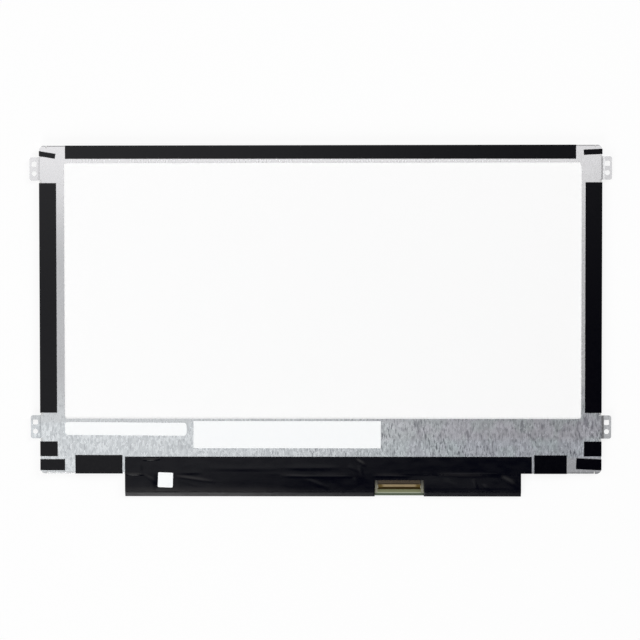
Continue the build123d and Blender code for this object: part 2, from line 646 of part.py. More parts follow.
def pieces():
    """Every piece of the panel by name, screen face first."""
    narrow_low = BAND_LOW - NARROW_LABEL_DROP - NARROW_LABEL_H
    wide_left = NARROW_LABEL_LEFT + NARROW_LABEL_W + LABEL_SPACING
    wide_low = FILM_LAP + LABEL_RISE
    power_x, backlight_x = supply_places()
    narrow = (NARROW_LABEL_W, NARROW_LABEL_H)
    wide = (WIDE_LABEL_W, WIDE_LABEL_H)
    narrow_shape = RectangleRounded(*narrow, NARROW_LABEL_R)
    return {
        "front_polariser": polariser(0),
        "colour_filter_glass": glass(FILTER_LOW, Z_FILTER),
        "tft_glass": glass(TFT_LOW, Z_TFT),
        "rear_polariser": polariser(Z_REAR_POLARISER),
        "rim_tape": rim_tape(),
        "upper_prism_sheet": optical_sheet(Z_OPTICS, PRISM_T),
        "lower_prism_sheet": optical_sheet(Z_LOWER_PRISM, PRISM_T),
        "diffuser_sheet": optical_sheet(Z_DIFFUSER, DIFFUSER_T),
        "light_guide": light_guide(),
        "light_bar_leds": light_bar_leds(),
        "light_bar_flex": light_bar_flex(),
        "reflector_sheet": reflector_sheet(),
        "mould_frame": mould_frame(),
        "rear_frame": rear_frame(),
        "driver_films": driver_films(),
        "driver_chips": driver_chips(),
        "control_board": control_board(),
        "timing_chip": timing_chip(),
        "power_chip": power_chip(power_x),
        "backlight_chip": power_chip(backlight_x),
        "coils": coils(),
        "capacitors": capacitors(),
        "resistors": resistors(),
        "socket_housing": socket_housing(),
        "socket_contacts": socket_contacts(),
        "socket_tabs": socket_tabs(),
        "board_film": board_film(),
        "square_sticker": square_sticker(),
        "narrow_label": label(narrow_shape, NARROW_LABEL_LEFT, narrow_low, *narrow, NARROW_LABEL_TILT),
        "wide_label": label(Rectangle(*wide), wide_left, wide_low, *wide),
        **tapes(),
    }


os.makedirs("parts", exist_ok=True)
for name, piece in pieces().items():
    solids = piece if isinstance(piece, list) else [piece]
    placed = Pos(0, SHIFT_Y, 0) * Compound(children=[s for solid in solids for s in solid.solids()])
    export_step(placed, f"parts/{name}.step")
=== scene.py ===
import bpy
import numpy as np
from mathutils import Matrix, Quaternion, Vector


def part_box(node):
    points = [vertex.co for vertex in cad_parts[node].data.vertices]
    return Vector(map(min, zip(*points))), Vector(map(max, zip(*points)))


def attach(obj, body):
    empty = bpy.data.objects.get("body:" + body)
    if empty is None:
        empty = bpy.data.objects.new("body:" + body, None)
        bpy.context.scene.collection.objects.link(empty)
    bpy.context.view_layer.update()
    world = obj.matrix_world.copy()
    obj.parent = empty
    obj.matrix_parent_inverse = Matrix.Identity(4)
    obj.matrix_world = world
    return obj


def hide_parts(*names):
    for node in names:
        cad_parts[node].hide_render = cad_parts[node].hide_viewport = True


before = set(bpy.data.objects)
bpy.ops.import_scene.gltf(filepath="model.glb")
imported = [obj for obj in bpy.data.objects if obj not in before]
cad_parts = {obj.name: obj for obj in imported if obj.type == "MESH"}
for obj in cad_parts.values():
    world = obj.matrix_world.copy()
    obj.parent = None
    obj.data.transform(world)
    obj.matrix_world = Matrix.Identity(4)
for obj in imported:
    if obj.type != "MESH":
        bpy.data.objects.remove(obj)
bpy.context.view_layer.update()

# Screen cell: a dark polariser film on each side of two thin glass plates.
# The front film's fine anti-glare coat scatters what it reflects, so that it shows as a soft sheen.
MM = 0.001


def finish(name, colour, roughness, metallic=0.0, specular=0.5):
    """A new material with one colour, roughness and gloss all over, to which patterns can be added."""
    material = bpy.data.materials.new(name)
    material.use_nodes = True
    shader = material.node_tree.nodes["Principled BSDF"]
    shader.inputs["Base Color"].default_value = (*colour, 1)
    shader.inputs["Roughness"].default_value = roughness
    shader.inputs["Metallic"].default_value = metallic
    shader.inputs["Specular IOR Level"].default_value = specular
    return material


def add(material, kind, inputs, **options):
    """One more node in a material; each input is a plain value or the output of another node."""
    node = material.node_tree.nodes.new(kind)
    for key, value in options.items():
        setattr(node, key, value)
    for key, value in inputs.items():
        if isinstance(value, bpy.types.NodeSocket):
            material.node_tree.links.new(value, node.inputs[key])
        else:
            node.inputs[key].default_value = value
    return node


def drive(material, socket, source):
    """Lets a pattern set one socket of the material's shader."""
    shader = material.node_tree.nodes["Principled BSDF"]
    material.node_tree.links.new(source, shader.inputs[socket])


def stretched(material, across, along):
    """Places on the object, with X divided by a size across, and Y and Z by a size along."""
    place = add(material, "ShaderNodeTexCoord", {}).outputs["Object"]
    shrink = {"Vector": place, "Scale": (1 / across, 1 / along, 1 / along)}
    return add(material, "ShaderNodeMapping", shrink).outputs["Vector"]


def spots(material, across, along=None, detail=2.0):
    """Cloudy pattern from 0 to 1, with spots of one size across, in X, and another along, in Y and Z."""
    cloud = {"Vector": stretched(material, across, along or across), "Scale": 1.0, "Detail": detail}
    return add(material, "ShaderNodeTexNoise", cloud).outputs["Fac"]


def between(material, pattern, low, high, start=0.3, end=0.7):
    """Spreads a pattern's values from start to end smoothly over the range from low to high."""
    limits = {"Value": pattern, "From Min": start, "From Max": end, "To Min": low, "To Max": high}
    return add(material, "ShaderNodeMapRange", limits, interpolation_type="SMOOTHSTEP").outputs["Result"]


def uneven(material, low, high, across):
    """Lets the roughness vary from low to high in spots of one size."""
    drive(material, "Roughness", between(material, spots(material, across), low, high))


def relief(material, depth, across, along=None):
    """Raises the surface in spots of a given size, to a depth in metres."""
    height = spots(material, across, along)
    bump = add(material, "ShaderNodeBump", {"Height": height, "Distance": depth, "Strength": 1.0})
    drive(material, "Normal", bump.outputs["Normal"])


def dress(material, *nodes):
    """Gives some of the solids one material."""
    for node in nodes:
        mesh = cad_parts[node].data
        mesh.materials.clear()
        mesh.materials.append(material)


dark_film = finish("dark_polariser", colour=(0.012, 0.012, 0.014), roughness=0.32)
uneven(dark_film, low=0.28, high=0.40, across=0.3 * MM)
relief(dark_film, depth=0.004 * MM, across=0.15 * MM)
dress(dark_film, "front_polariser", "rear_polariser")

cell_glass = finish("screen_glass", colour=(0.10, 0.12, 0.12), roughness=0.08)
uneven(cell_glass, low=0.06, high=0.14, across=9 * MM)
dress(cell_glass, "colour_filter_glass", "tft_glass")

# Optical stack: two prism sheets and a diffuser, thin pearly films laid loose over the light guide.
# They show only as pale edges, so they keep the plain solids with a milky satin finish.
pearl = finish("optical_film", colour=(0.86, 0.87, 0.88), roughness=0.35)
uneven(pearl, low=0.28, high=0.45, across=4 * MM)
dress(pearl, "upper_prism_sheet", "lower_prism_sheet", "diffuser_sheet")


# Light guide and light bar: a clear moulded plate, lit at its lower edge by white diodes on an amber strip.
# The plate has a print of fine dots, and the strip's tongue bends down to the board.
def mixed(material, share, first, second):
    """Colour that goes from first to second, each plain or a pattern, as the share goes from 0 to 1."""
    ends = [end if isinstance(end, bpy.types.NodeSocket) else (*end, 1) for end in (first, second)]
    return add(material, "ShaderNodeMix", {0: share, 6: ends[0], 7: ends[1]}, data_type="RGBA").outputs[2]


clear_plate = finish("clear_guide", colour=(0.82, 0.86, 0.88), roughness=0.12)
uneven(clear_plate, low=0.08, high=0.22, across=0.5 * MM)
dress(clear_plate, "light_guide")

DIODE_PALE, DIODE_DEEP = (0.88, 0.84, 0.66), (0.80, 0.74, 0.48)
diode = finish("diode_white", colour=(0.86, 0.82, 0.62), roughness=0.35)
drive(diode, "Base Color", mixed(diode, spots(diode, across=1.2 * MM), DIODE_PALE, DIODE_DEEP))
dress(diode, "light_bar_leds")

AMBER_PALE, AMBER_DEEP = (0.46, 0.23, 0.06), (0.36, 0.16, 0.04)
amber = finish("amber_flex", colour=(0.45, 0.22, 0.06), roughness=0.38)
drive(amber, "Base Color", mixed(amber, spots(amber, across=6 * MM, along=1 * MM), AMBER_PALE, AMBER_DEEP))
dress(amber, "light_bar_flex", "driver_films")

# Reflector: a thin white foamed-plastic sheet behind the light guide, seen through the frame's window.
# It is almost pure white, with a faint satin unevenness.
white_sheet = finish("white_reflector", colour=(0.955, 0.955, 0.955), roughness=0.55, specular=0.3)
uneven(white_sheet, low=0.5, high=0.62, across=14 * MM)
relief(white_sheet, depth=0.002 * MM, across=0.4 * MM)
dress(white_sheet, "reflector_sheet")

# Mould frame: one white plastic moulding that holds the cell and the light guide inside the steel.
# Only its rim and snaps show at the panel's edges, with the fine texture of a spark-eroded mould.
white_mould = finish("white_mould", colour=(0.80, 0.80, 0.78), roughness=0.5)
uneven(white_mould, low=0.42, high=0.6, across=0.6 * MM)
relief(white_mould, depth=0.006 * MM, across=0.25 * MM)
dress(white_mould, "mould_frame")


# Rear frame: galvanised sheet steel, blanked, pierced and folded in one piece with its walls and ears.
# The zinc carries painted light along the top. The lower band has a spangle of dull and bright crystals,
# with painted shade darkening its right end, dark flecks and lines along Y and faint patches of hue. Bends
# and edges have other tones, which are painted light and shade.
def position(material):
    """A point's X, Y and Z on the object."""
    place = add(material, "ShaderNodeTexCoord", {}).outputs["Object"]
    return add(material, "ShaderNodeSeparateXYZ", {"Vector": place}).outputs


def past(material, measure, start, end):
    """Share that rises smoothly from 0 to 1 as a measure goes from start to end."""
    return between(material, measure, 0.0, 1.0, start, end)


def until(material, measure, start, end):
    """Share that falls smoothly from 1 to 0 as a measure goes from start to end."""
    return between(material, measure, 1.0, 0.0, start, end)


def product(material, first, *others):
    """Patterns multiplied together."""
    for other in others:
        first = add(material, "ShaderNodeMath", {0: first, 1: other}, operation="MULTIPLY").outputs["Value"]
    return first


def tinted(material, share, colour, tint):
    """Colour multiplied by a tint, plain or a pattern, as far as the share goes from 0 to 1."""
    tint = tint if isinstance(tint, bpy.types.NodeSocket) else (*tint, 1)
    blend = {0: share, 6: colour, 7: tint}
    return add(material, "ShaderNodeMix", blend, data_type="RGBA", blend_type="MULTIPLY").outputs[2]


galvanised = finish("galvanised_steel", colour=(0.70, 0.71, 0.72), roughness=0.25, metallic=0.5)
steel_low, steel_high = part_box("rear_frame")
band_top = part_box("wide_label")[1].y
ways = position(galvanised)
upper = past(galvanised, ways["Y"], start=band_top + 70 * MM, end=steel_high.y)
lower = until(galvanised, ways["Y"], start=band_top, end=band_top + 25 * MM)
rightward = between(galvanised, ways["X"], low=0.35, high=1.0, start=steel_low.x / 2, end=steel_high.x / 2)
far_right = past(galvanised, ways["X"], start=-14 * MM, end=80 * MM)
high_in_band = past(galvanised, ways["Y"], start=band_top - 11 * MM, end=band_top - 7 * MM)

# Plain zinc above the band, with painted light brightening it towards the top
ZINC_LEFT, ZINC_RIGHT, ZINC_TOP_LIT = (0.38, 0.385, 0.40), (0.56, 0.56, 0.57), (0.70, 0.695, 0.71)
zinc = mixed(galvanised, rightward, ZINC_LEFT, ZINC_RIGHT)
zinc = mixed(galvanised, upper, zinc, ZINC_TOP_LIT)

# The band's spangle: short crystals, which turn to longer streaks towards the right
CRYSTAL_W, CRYSTAL_L = 0.9 * MM, 1.5 * MM
STREAK_SHARE = 0.45
crystal_places = stretched(galvanised, CRYSTAL_W, CRYSTAL_L)
crystals = add(galvanised, "ShaderNodeTexVoronoi", {"Vector": crystal_places, "Scale": 1.0}).outputs["Color"]
spangle = past(galvanised, crystals, start=0.15, end=0.85)
streaks = past(galvanised, spots(galvanised, across=0.55 * MM, along=3.6 * MM), start=0.36, end=0.64)
drawn_out = {0: product(galvanised, far_right, STREAK_SHARE), 2: spangle, 3: streaks}
spangle = add(galvanised, "ShaderNodeMix", drawn_out, data_type="FLOAT").outputs[0]

# Tones of its crystals at the left and, low and high, at the right, and of the plain strip by the window;
# the right-hand tones are darker with painted shade
BRIGHT_LEFT, DULL_LEFT = (0.71, 0.74, 0.76), (0.51, 0.535, 0.555)
SHADED_BRIGHT_LOW, SHADED_BRIGHT_HIGH = (0.572, 0.605, 0.645), (0.525, 0.533, 0.566)
SHADED_DULL_LOW, SHADED_DULL_HIGH = (0.42, 0.444, 0.476), (0.386, 0.392, 0.415)
PLAIN_LEFT, PLAIN_RIGHT_SHADED = (0.55, 0.57, 0.585), (0.44, 0.45, 0.475)
bright = mixed(galvanised, far_right, BRIGHT_LEFT, mixed(galvanised, high_in_band, SHADED_BRIGHT_LOW, SHADED_BRIGHT_HIGH))
dull = mixed(galvanised, far_right, DULL_LEFT, mixed(galvanised, high_in_band, SHADED_DULL_LOW, SHADED_DULL_HIGH))
plain = mixed(galvanised, far_right, PLAIN_LEFT, PLAIN_RIGHT_SHADED)
near_window = past(galvanised, ways["Y"], start=band_top - 1.5 * MM, end=band_top)
band = mixed(galvanised, near_window, mixed(galvanised, spangle, dull, bright), plain)
zinc = mixed(galvanised, lower, zinc, band)

# Dark flecks in patches, and longer dark lines at the right, more of them in the upper half
FLECK_DARK, LINE_DARK = (0.13, 0.135, 0.155), (0.20, 0.20, 0.225)
flecks = past(galvanised, spots(galvanised, across=0.65 * MM, along=2.8 * MM), start=0.53, end=0.63)
patches = between(galvanised, spots(galvanised, across=9 * MM), low=0.35, high=1.0)
zinc = mixed(galvanised, product(galvanised, flecks, patches, lower, rightward), zinc, FLECK_DARK)
lines = spots(galvanised, across=1.2 * MM, along=5.5 * MM, detail=1.0)
lines = between(galvanised, lines, low=0.0, high=0.8, start=0.56, end=0.62)
gathered = between(galvanised, spots(galvanised, across=5 * MM), low=0.1, high=1.0, start=0.42, end=0.58)
upper_half = between(galvanised, high_in_band, low=0.35, high=1.0, start=0.0, end=1.0)
zinc = mixed(galvanised, product(galvanised, lines, gathered, upper_half, far_right, lower), zinc, LINE_DARK)

# Faint patches of hue at the right
MAUVE, GREENISH = (1.01, 0.992, 1.015), (0.98, 1.012, 0.995)
clouds = past(galvanised, spots(galvanised, across=10 * MM), start=0.42, end=0.58)
hue = mixed(galvanised, clouds, MAUVE, GREENISH)
zinc = tinted(galvanised, product(galvanised, far_right, lower), zinc, hue)

# Painted light beside the lower right ear, plain grey at the corner below it, and painted shade as a dark
# line along the top edge
EAR_LIGHT_TINT, CORNER_GREY, TOP_SHADE_LINE = (1.15, 1.15, 1.155), (0.49, 0.495, 0.52), (0.25, 0.25, 0.26)
lit_by_ear = product(galvanised, past(galvanised, ways["X"], start=122 * MM, end=126 * MM),
                 until(galvanised, ways["Y"], start=band_top + 2 * MM, end=band_top + 8 * MM))
zinc = tinted(galvanised, lit_by_ear, zinc, EAR_LIGHT_TINT)
foot = until(galvanised, ways["Y"], start=steel_low.y + 6.5 * MM, end=steel_low.y + 8.5 * MM)
at_corner = product(galvanised, foot, past(galvanised, ways["X"], start=95 * MM, end=112 * MM))
zinc = mixed(galvanised, at_corner, zinc, CORNER_GREY)
shaded_top_edge = between(galvanised, ways["Y"], low=0.0, high=0.8,
                  start=steel_high.y - 0.6 * MM, end=steel_high.y - 0.3 * MM)
zinc = mixed(galvanised, shaded_top_edge, zinc, TOP_SHADE_LINE)

# Painted shade darkens the bend along the bottom; the bends at the right have painted light above and painted
# shade below, and the lower right ear has painted light
FOOT_SHADE_LEFT, FOOT_SHADE_RIGHT = (0.50, 0.51, 0.52), (0.37, 0.375, 0.39)
BEND_LIGHT_UPPER, BEND_SHADE_LOWER, EAR_LIGHT_LOWER = (0.90, 0.90, 0.91), (0.29, 0.29, 0.30), (0.65, 0.66, 0.68)
shaded_foot = until(galvanised, ways["Y"], start=steel_low.y + 0.6 * MM, end=steel_low.y + 1.1 * MM)
zinc = mixed(galvanised, shaded_foot, zinc, mixed(galvanised, far_right, FOOT_SHADE_LEFT, FOOT_SHADE_RIGHT))
wall_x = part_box("right_tape")[1].x
past_wall = past(galvanised, ways["X"], start=wall_x, end=wall_x + 0.3 * MM)
on_ear = past(galvanised, ways["X"], start=wall_x + 1.0 * MM, end=wall_x + 1.4 * MM)
bend = mixed(galvanised, lower, BEND_LIGHT_UPPER, BEND_SHADE_LOWER)
ear = mixed(galvanised, lower, zinc, EAR_LIGHT_LOWER)
zinc = mixed(galvanised, past_wall, zinc, mixed(galvanised, on_ear, bend, ear))
drive(galvanised, "Base Color", zinc)
drive(galvanised, "Roughness", between(galvanised, crystals, low=0.22, high=0.30, start=0.0, end=1.0))
dress(galvanised, "rear_frame")

# Control board: glass-fibre laminate with a green solder mask, and chips, chokes and small parts soldered on.
# The film covers all but its lower edge at the socket, where a bare tinned rim runs along it.
RIM_INSET, RIM_W, RIM_BLUR = 1.15 * MM, 0.5 * MM, 0.08 * MM
SHADE_BLUR = 0.3 * MM
MASK_PALE, MASK_DEEP = (0.19, 0.195, 0.10), (0.14, 0.15, 0.07)
EDGE_GREEN, RIM_TIN, SHADE_UNDER_SOCKET = (0.075, 0.095, 0.06), (0.31, 0.335, 0.25), (0.03, 0.022, 0.012)
board_low, board_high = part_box("control_board")
socket_low, socket_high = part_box("socket_housing")
rim_low = board_low.y + RIM_INSET
rim_high = rim_low + RIM_W
green_mask = finish("green_board", colour=(0.17, 0.17, 0.07), roughness=0.35)
height = position(green_mask)["Y"]
past_edge = past(green_mask, height, start=rim_low - RIM_BLUR, end=rim_low + RIM_BLUR)
past_rim = past(green_mask, height, start=rim_high - RIM_BLUR, end=rim_high + RIM_BLUR)
# Painted shade: the board is dark under and behind the socket, between the contacts' tails
behind = past(green_mask, height, start=socket_low.y - SHADE_BLUR, end=socket_low.y + SHADE_BLUR)
mask = mixed(green_mask, spots(green_mask, across=1.5 * MM), MASK_PALE, MASK_DEEP)
mask = mixed(green_mask, behind, mask, SHADE_UNDER_SOCKET)
mask = mixed(green_mask, past_rim, RIM_TIN, mask)
drive(green_mask, "Base Color", mixed(green_mask, past_edge, EDGE_GREEN, mask))
dress(green_mask, "control_board")

chip_black = finish("black_chip", colour=(0.02, 0.02, 0.021), roughness=0.5)
relief(chip_black, depth=0.003 * MM, across=0.15 * MM)
dress(chip_black, "driver_chips", "timing_chip", "power_chip", "backlight_chip", "resistors")

ferrite = finish("dark_ferrite", colour=(0.09, 0.09, 0.095), roughness=0.6)
relief(ferrite, depth=0.004 * MM, across=0.2 * MM)
dress(ferrite, "coils")

tan_ceramic = finish("tan_ceramic", colour=(0.42, 0.30, 0.20), roughness=0.45)
relief(tan_ceramic, depth=0.003 * MM, across=0.2 * MM)
dress(tan_ceramic, "capacitors")

# Cable socket: a heat-proof tan moulding with forty plated contacts and a tinned holding tab at each end.
# The contacts' tails and the tabs' feet are soldered to the board. The floor below the mouth and the roof's
# lip are painted dark amber as shade in the mouth, and the roof's ends are dark amber too.
ROOF_T, LIP_W, LIP_BLUR = 0.25 * MM, 1.0 * MM, 0.4 * MM
ROOF_PALE, ROOF_DEEP = (0.33, 0.255, 0.145), (0.20, 0.15, 0.08)
SHADED_AMBER, END_AMBER = (0.035, 0.02, 0.002), (0.08, 0.052, 0.008)
socket_x = (socket_low.x + socket_high.x) / 2
lip_y = socket_low.y + LIP_W
tan_plastic = finish("tan_socket", colour=(0.30, 0.22, 0.11), roughness=0.4, specular=0.1)
ways = position(tan_plastic)
on_roof = past(tan_plastic, ways["Z"], start=socket_high.z - 2 * ROOF_T, end=socket_high.z - ROOF_T)
past_lip = past(tan_plastic, ways["Y"], start=lip_y, end=lip_y + LIP_BLUR)
aside = add(tan_plastic, "ShaderNodeMath", {0: ways["X"], 1: socket_x}, operation="SUBTRACT").outputs[0]
aside = add(tan_plastic, "ShaderNodeMath", {0: aside}, operation="ABSOLUTE").outputs[0]
at_end = between(tan_plastic, aside, low=0.0, high=0.85, start=7.0 * MM, end=8.8 * MM)
roof = mixed(tan_plastic, spots(tan_plastic, across=2 * MM, along=0.6 * MM), ROOF_PALE, ROOF_DEEP)
# Painted shade: dark amber along the roof's front lip, as on the floor below
roof = mixed(tan_plastic, past_lip, SHADED_AMBER, roof)
roof = mixed(tan_plastic, at_end, roof, END_AMBER)
drive(tan_plastic, "Base Color", mixed(tan_plastic, on_roof, SHADED_AMBER, roof))
dress(tan_plastic, "socket_housing")

plated = finish("gold_contact", colour=(0.20, 0.15, 0.10), roughness=0.35, metallic=0.9)
uneven(plated, low=0.28, high=0.45, across=0.5 * MM)
dress(plated, "socket_contacts")

# The tabs are darker towards the back, by the film's edge
TIN_LIGHT, TIN_DARK = (0.37, 0.36, 0.285), (0.13, 0.125, 0.11)
tinned = finish("tinned_tab", colour=(0.33, 0.33, 0.29), roughness=0.4, metallic=0.9)
towards_back = past(tinned, position(tinned)["Y"], start=socket_low.y, end=socket_high.y + 1.5 * MM)
drive(tinned, "Base Color", mixed(tinned, towards_back, TIN_LIGHT, TIN_DARK))
uneven(tinned, low=0.32, high=0.5, across=0.8 * MM)
dress(tinned, "socket_tabs")


# Board film: one sheet of thin glossy black polyester, stuck to the frame, folded round the board and stuck
# again in front, with a hole across its fold for the socket. It lies loose over the board's parts, so that
# it is softly wrinkled and steps down at the frame. Its sharp creases and its hem carry painted highlights.
def rounded(points, reaches, steps=9):
    """Rounds an open line: each corner becomes a parabola that starts and ends at its own reach from it."""
    corners = points[1:-1, None]
    before, after = points[:-2, None] - corners, points[2:, None] - corners
    reaches = np.reshape(reaches, (-1, 1, 1))
    before *= reaches / np.linalg.norm(before, axis=-1, keepdims=True)
    after *= reaches / np.linalg.norm(after, axis=-1, keepdims=True)
    t = np.linspace(0, 1, steps)[None, :, None]
    bends = corners + (1 - t) ** 2 * before + t**2 * after
    return np.concatenate([points[:1], bends.reshape(-1, points.shape[1]), points[-1:]])


def stretches(breaks, step):
    """Values from the first break to the last, a step or less apart, that include every break."""
    counts = np.maximum(np.ceil(np.diff(breaks) / step).astype(int), 1)
    runs = [np.linspace(a, b, n, endpoint=False) for a, b, n in zip(breaks, breaks[1:], counts)]
    return np.concatenate([*runs, breaks[-1:]])


def crease(x, q, start, end, width, rise):
    """Ridge along a line between two places, with a bell-shaped section, that fades towards both ends."""
    run = np.subtract(end, start)
    length = np.hypot(*run)
    along = ((x - start[0]) * run[0] + (q - start[1]) * run[1]) / length**2
    off = ((x - start[0]) * run[1] - (q - start[1]) * run[0]) / length
    fade = np.clip(1 - (2 * along - 1) ** 2, 0, None)
    return rise * fade * np.exp(-((off / width) ** 2))


def swell(x, q):
    """Shallow waves: the product of two sines, one along the film and one across it, and a slanting sine."""
    crossing = 0.025 * np.sin(x / 7.3 + 0.9) * np.sin(q / 2.2 + x / 17)
    return crossing + 0.02 * np.sin(x / 11.3 - q / 2.1)


# Section of the film, from its upper edge over the step and round the fold to its edge in front
FILM_T = 0.08 * MM
COVER_RISE = 1.12 * MM
STEP_GAP, STEP_RUN = 0.2 * MM, 8.2 * MM
HEM_RUN, HEM_REACH = 2.2 * MM, 1.3 * MM
BEND_REACH = 0.3 * MM
FRONT_GAP = 0.3 * MM
film_low, film_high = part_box("board_film")
fold_y = film_low.y + FILM_T
front_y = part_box("colour_filter_glass")[0].y - FRONT_GAP
front_z = film_low.z + FILM_T
cover_z = board_high.z + COVER_RISE
path = rounded(np.array([
    (film_high.y, steel_high.z),
    (steel_low.y - STEP_GAP, steel_high.z),
    (steel_low.y - STEP_RUN, cover_z),
    (fold_y + HEM_RUN, cover_z),
    (fold_y, board_high.z),
    (fold_y, front_z),
    (front_y, front_z),
]), [BEND_REACH, BEND_REACH, HEM_REACH, BEND_REACH, BEND_REACH])
run = np.concatenate([[0], np.cumsum(np.hypot(*np.diff(path, axis=0).T))])
turn = int(np.argmin(path[:, 0]))
fold_run = run[turn]

# Grid of columns, along X, and rows, down the section, with lines at the socket's hole and at the tab
NOTCH_HALF, NOTCH_DROP = 11.75 * MM, 3.1 * MM
TAB_W = 5.05 * MM
COLUMN_STEP, ROW_STEP, FRONT_STEP = 0.6 * MM, 0.16 * MM, 2.5 * MM
FOLD_MARGIN = 0.6 * MM
notch_y = steel_low.y - NOTCH_DROP
notch_back = np.interp(-notch_y, -path[:turn, 0], run[:turn])
notch_front = np.interp(notch_y, path[turn:, 0], run[turn:])
notch_left, notch_right = socket_x - NOTCH_HALF, socket_x + NOTCH_HALF
tab_end = np.interp(-steel_low.y, -path[:turn, 0], run[:turn])
film_right = film_high.x - TAB_W
past_fold = fold_run + FOLD_MARGIN
columns = stretches(np.array([film_low.x, notch_left, notch_right, film_right, film_high.x]), COLUMN_STEP)
back_rows = stretches(np.array([0, tab_end, notch_back, past_fold]), ROW_STEP)
front_rows = stretches(np.array([past_fold, notch_front, run[-1]]), FRONT_STEP)
rows = np.concatenate([back_rows, front_rows[1:]])
x, q = np.meshgrid(columns, rows)
y = np.interp(q, run, path[:, 0])
z = np.interp(q, run, path[:, 1])
slope_y, slope_z = np.gradient(y, axis=0), np.gradient(z, axis=0)
tilt = np.hypot(slope_y, slope_z)
out_y, out_z = slope_z / tilt, -slope_y / tilt

# Places on the film, in millimetres from its left end and down from its upper edge
px, pq, fold_q = (x - film_low.x) / MM, q / MM, fold_run / MM

# Bulge over the board, less where the film is taut and more where it is slack, and a sag at the slack step
BULGE_START, BULGE_TOP, BULGE_END, BULGE_RISE = 8.4, 17.0, fold_q - 0.3, 0.30
SAG_START, SAG_LOW, SAG_END, SAG_DROP = 8.3, 8.9, 15.0, 0.24
TAUT_X, TAUT_W, TAUT_DROP = 95, 20, 0.12
SLACK_X, SLACK_W, SLACK_RISE = 118, 25, 0.10
slack = np.clip((px - SLACK_X) / SLACK_W, 0, 1)
fullness = BULGE_RISE - TAUT_DROP * np.exp(-(((px - TAUT_X) / TAUT_W) ** 2)) + SLACK_RISE * slack
bulge = np.interp(pq, [BULGE_START, BULGE_TOP, BULGE_END], [0, 1, 0])
sag = np.interp(pq, [SAG_START, SAG_LOW, SAG_END], [0, -SAG_DROP, 0])
wrinkles = bulge * (fullness + swell(px, pq)) + sag * slack

# Creases: the places where each starts and ends, its width and its rise
CREASES = (
    ((8.2, 1.7), (17.0, 1.2), 0.30, 0.26), ((-1.0, 8.4), (9.0, 8.7), 0.32, 0.26),
    ((7.0, 2.5), (7.6, 8.6), 0.8, 0.10), ((7.5, 7.0), (15.5, 13.5), 0.6, 0.12),
    ((22.5, 8.0), (38.0, 7.2), 1.0, 0.06), ((23.0, 9.2), (44.0, 12.2), 0.7, 0.05),
    ((27.0, 12.0), (38.0, 14.5), 0.9, 0.03), ((34.0, 5.6), (76.0, 5.7), 1.2, 0.07),
    ((72.0, 5.3), (104.0, 5.3), 1.1, 0.08), ((74.0, 9.3), (110.0, 9.6), 0.6, 0.10),
    ((86.0, 10.5), (98.0, 15.5), 1.0, 0.10), ((111.5, 1.2), (115.0, 4.6), 0.5, 0.10),
    ((112.0, 4.0), (114.0, 10.5), 0.7, 0.07), ((107.0, 4.0), (112.0, 7.8), 1.0, 0.06),
    ((109.5, 9.8), (112.0, 13.5), 0.6, 0.08), ((118.0, 9.2), (138.0, 9.3), 0.6, 0.09),
    ((147.0, 8.7), (186.0, 8.9), 0.7, 0.08), ((166.5, 10.5), (168.5, 15.5), 0.5, 0.10),
    ((171.5, 13.0), (174.5, 16.5), 0.5, 0.10), ((180.5, 9.2), (188.0, 15.5), 0.8, 0.14),
    ((153.0, 10.5), (160.0, 16.0), 1.2, 0.07),
)
for start, end, width, rise in CREASES:
    wrinkles += crease(px, pq, start, end, width, rise)

# Painted highlights: the hem, most near the left end, and creases with their width and share of highlight
HIGHLIGHT_CREASES = (
    ((7.5, 1.1), (17.0, 1.0), 0.35, 0.6), ((0.0, 8.1), (8.5, 8.2), 0.35, 0.65),
    ((9.0, 8.1), (14.5, 11.0), 0.4, 0.25), ((23.0, 8.9), (42.0, 11.5), 0.65, 0.6),
    ((73.0, 8.2), (90.0, 9.2), 0.6, 0.25), ((90.0, 8.3), (108.0, 8.3), 0.6, 0.2),
    ((110.5, 0.6), (115.0, 3.6), 0.5, 0.6), ((118.0, 8.4), (135.0, 8.6), 0.5, 0.35),
    ((149.0, 8.4), (172.0, 8.8), 0.8, 0.3), ((179.5, 8.8), (186.5, 12.5), 0.9, 0.4),
)
HEM_LIGHT_X, HEM_LIGHT_SHARE = [0, 15, 30, 65, 95], [0.3, 0.55, 0.4, 0.32, 0.0]
HEM_Q, HEM_SHARE = [12.8, 14.2, 15.7, fold_q, fold_q + 1.0], [0.0, 0.25, 1.0, 1.0, 0.0]
painted_highlight = np.interp(px, HEM_LIGHT_X, HEM_LIGHT_SHARE) * np.interp(pq, HEM_Q, HEM_SHARE)
for start, end, width, share in HIGHLIGHT_CREASES:
    painted_highlight += crease(px, pq, start, end, width, share)

# The film lies flat under the square sticker
FLAT_MARGIN, FLAT_FADE = 0.2, 2.0
sticker_low, sticker_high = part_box("square_sticker")
sticker_mid, sticker_half = (sticker_low + sticker_high) / 2, (sticker_high - sticker_low) / 2
beside, above = np.abs(x - sticker_mid.x) - sticker_half.x, np.abs(y - sticker_mid.y) - sticker_half.y
away = np.maximum(beside, above) / MM
wrinkles *= MM * np.clip((away - FLAT_MARGIN) / FLAT_FADE, 0, 1)
lift = FILM_T + wrinkles
points = np.stack([x, y + out_y * lift, z + out_z * lift], axis=-1).reshape(-1, 3)

